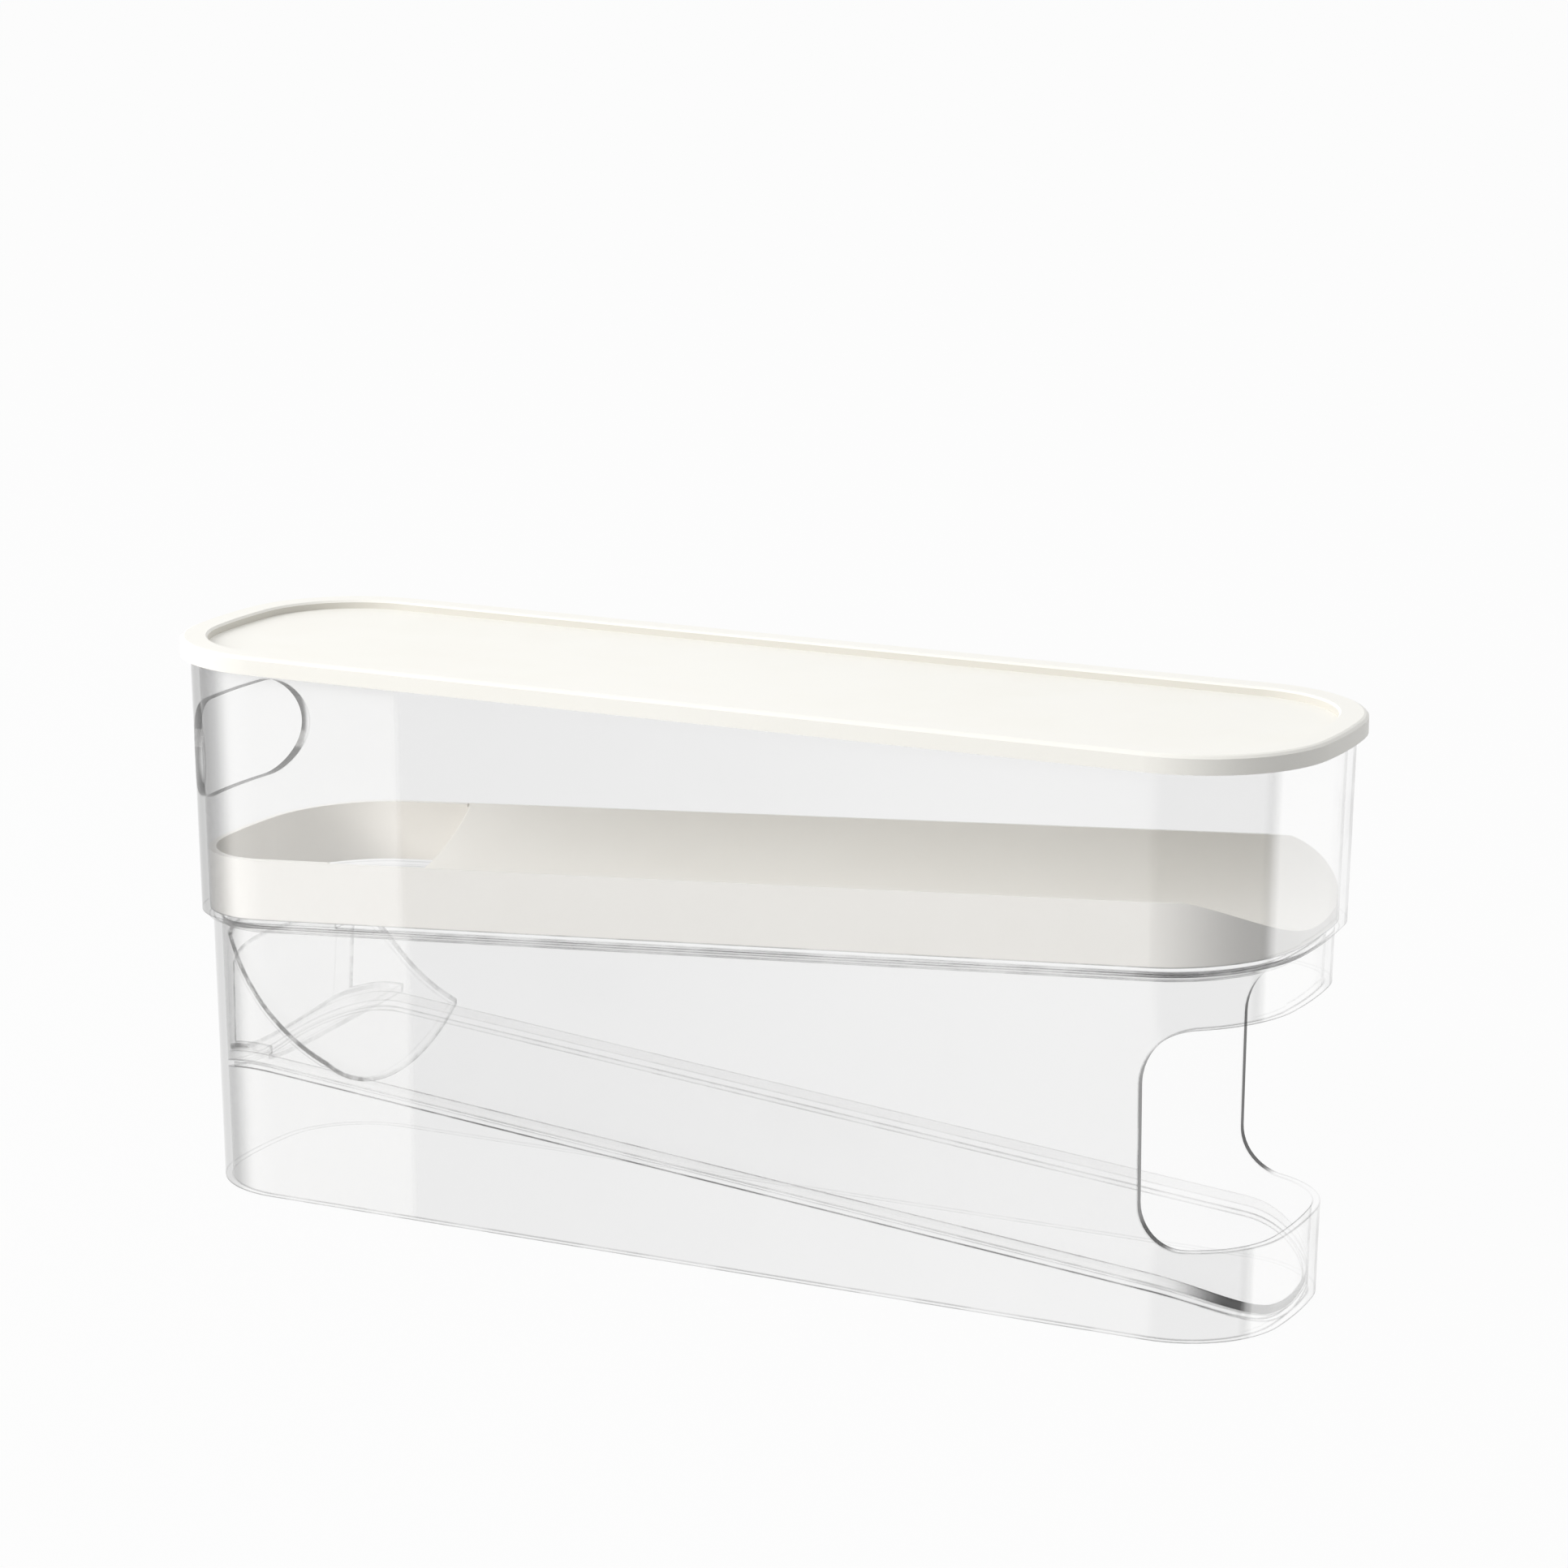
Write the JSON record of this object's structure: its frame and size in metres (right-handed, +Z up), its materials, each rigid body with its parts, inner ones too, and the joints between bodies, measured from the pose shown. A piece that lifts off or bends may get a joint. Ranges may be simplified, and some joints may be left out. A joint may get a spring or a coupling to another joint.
{
  "type": "rolling egg dispenser",
  "caption": "Stacked clear rolling dispenser with a recessed lid, dished lanes, a rear well, a curved rear guide and an open front end with a lip.",
  "frame": {"origin": "middle of the overall box, on the plane that the lower box stands on", "axes": "+X along the lanes to the dispensing end, +Y across the lanes, +Z up"},
  "size_m": [0.34, 0.095, 0.158],
  "materials": {
    "cream_plastic": "satin",
    "white_plastic": "satin",
    "clear_plastic": "clear, polished"
  },
  "bodies": {
    "lower": {"lower_box": "clear_plastic"},
    "ramp": {"ramp": "clear_plastic"},
    "guide": {"rear_guide": "clear_plastic"},
    "upper": {"upper_box": "clear_plastic"},
    "tray": {"tray": "white_plastic"},
    "lid": {"lid": "cream_plastic"}
  },
  "joints": [
    {"name": "upper_lift", "type": "slide", "parent": "lower", "child": "upper", "axis": [0, 0, 1], "range_m": [0, 0.16]},
    {"name": "ramp_lift", "type": "slide", "parent": "lower", "child": "ramp", "axis": [0, 0, 1], "range_m": [0, 0.112]},
    {"name": "guide_lift", "type": "slide", "parent": "ramp", "child": "guide", "axis": [0, 0, 1], "range_m": [0, 0.024]},
    {"name": "lid_lift", "type": "slide", "parent": "upper", "child": "lid", "axis": [0, 0, 1], "range_m": [0, 0.12]},
    {"name": "tray_lift", "type": "slide", "parent": "upper", "child": "tray", "axis": [0, 0, 1], "range_m": [0, 0.084]}
  ],
  "couplings": [
    {"joint": "ramp_lift", "follows": "upper_lift", "ratio": 0.7},
    {"joint": "guide_lift", "follows": "upper_lift", "ratio": 0.15},
    {"joint": "tray_lift", "follows": "lid_lift", "ratio": 0.7}
  ]
}
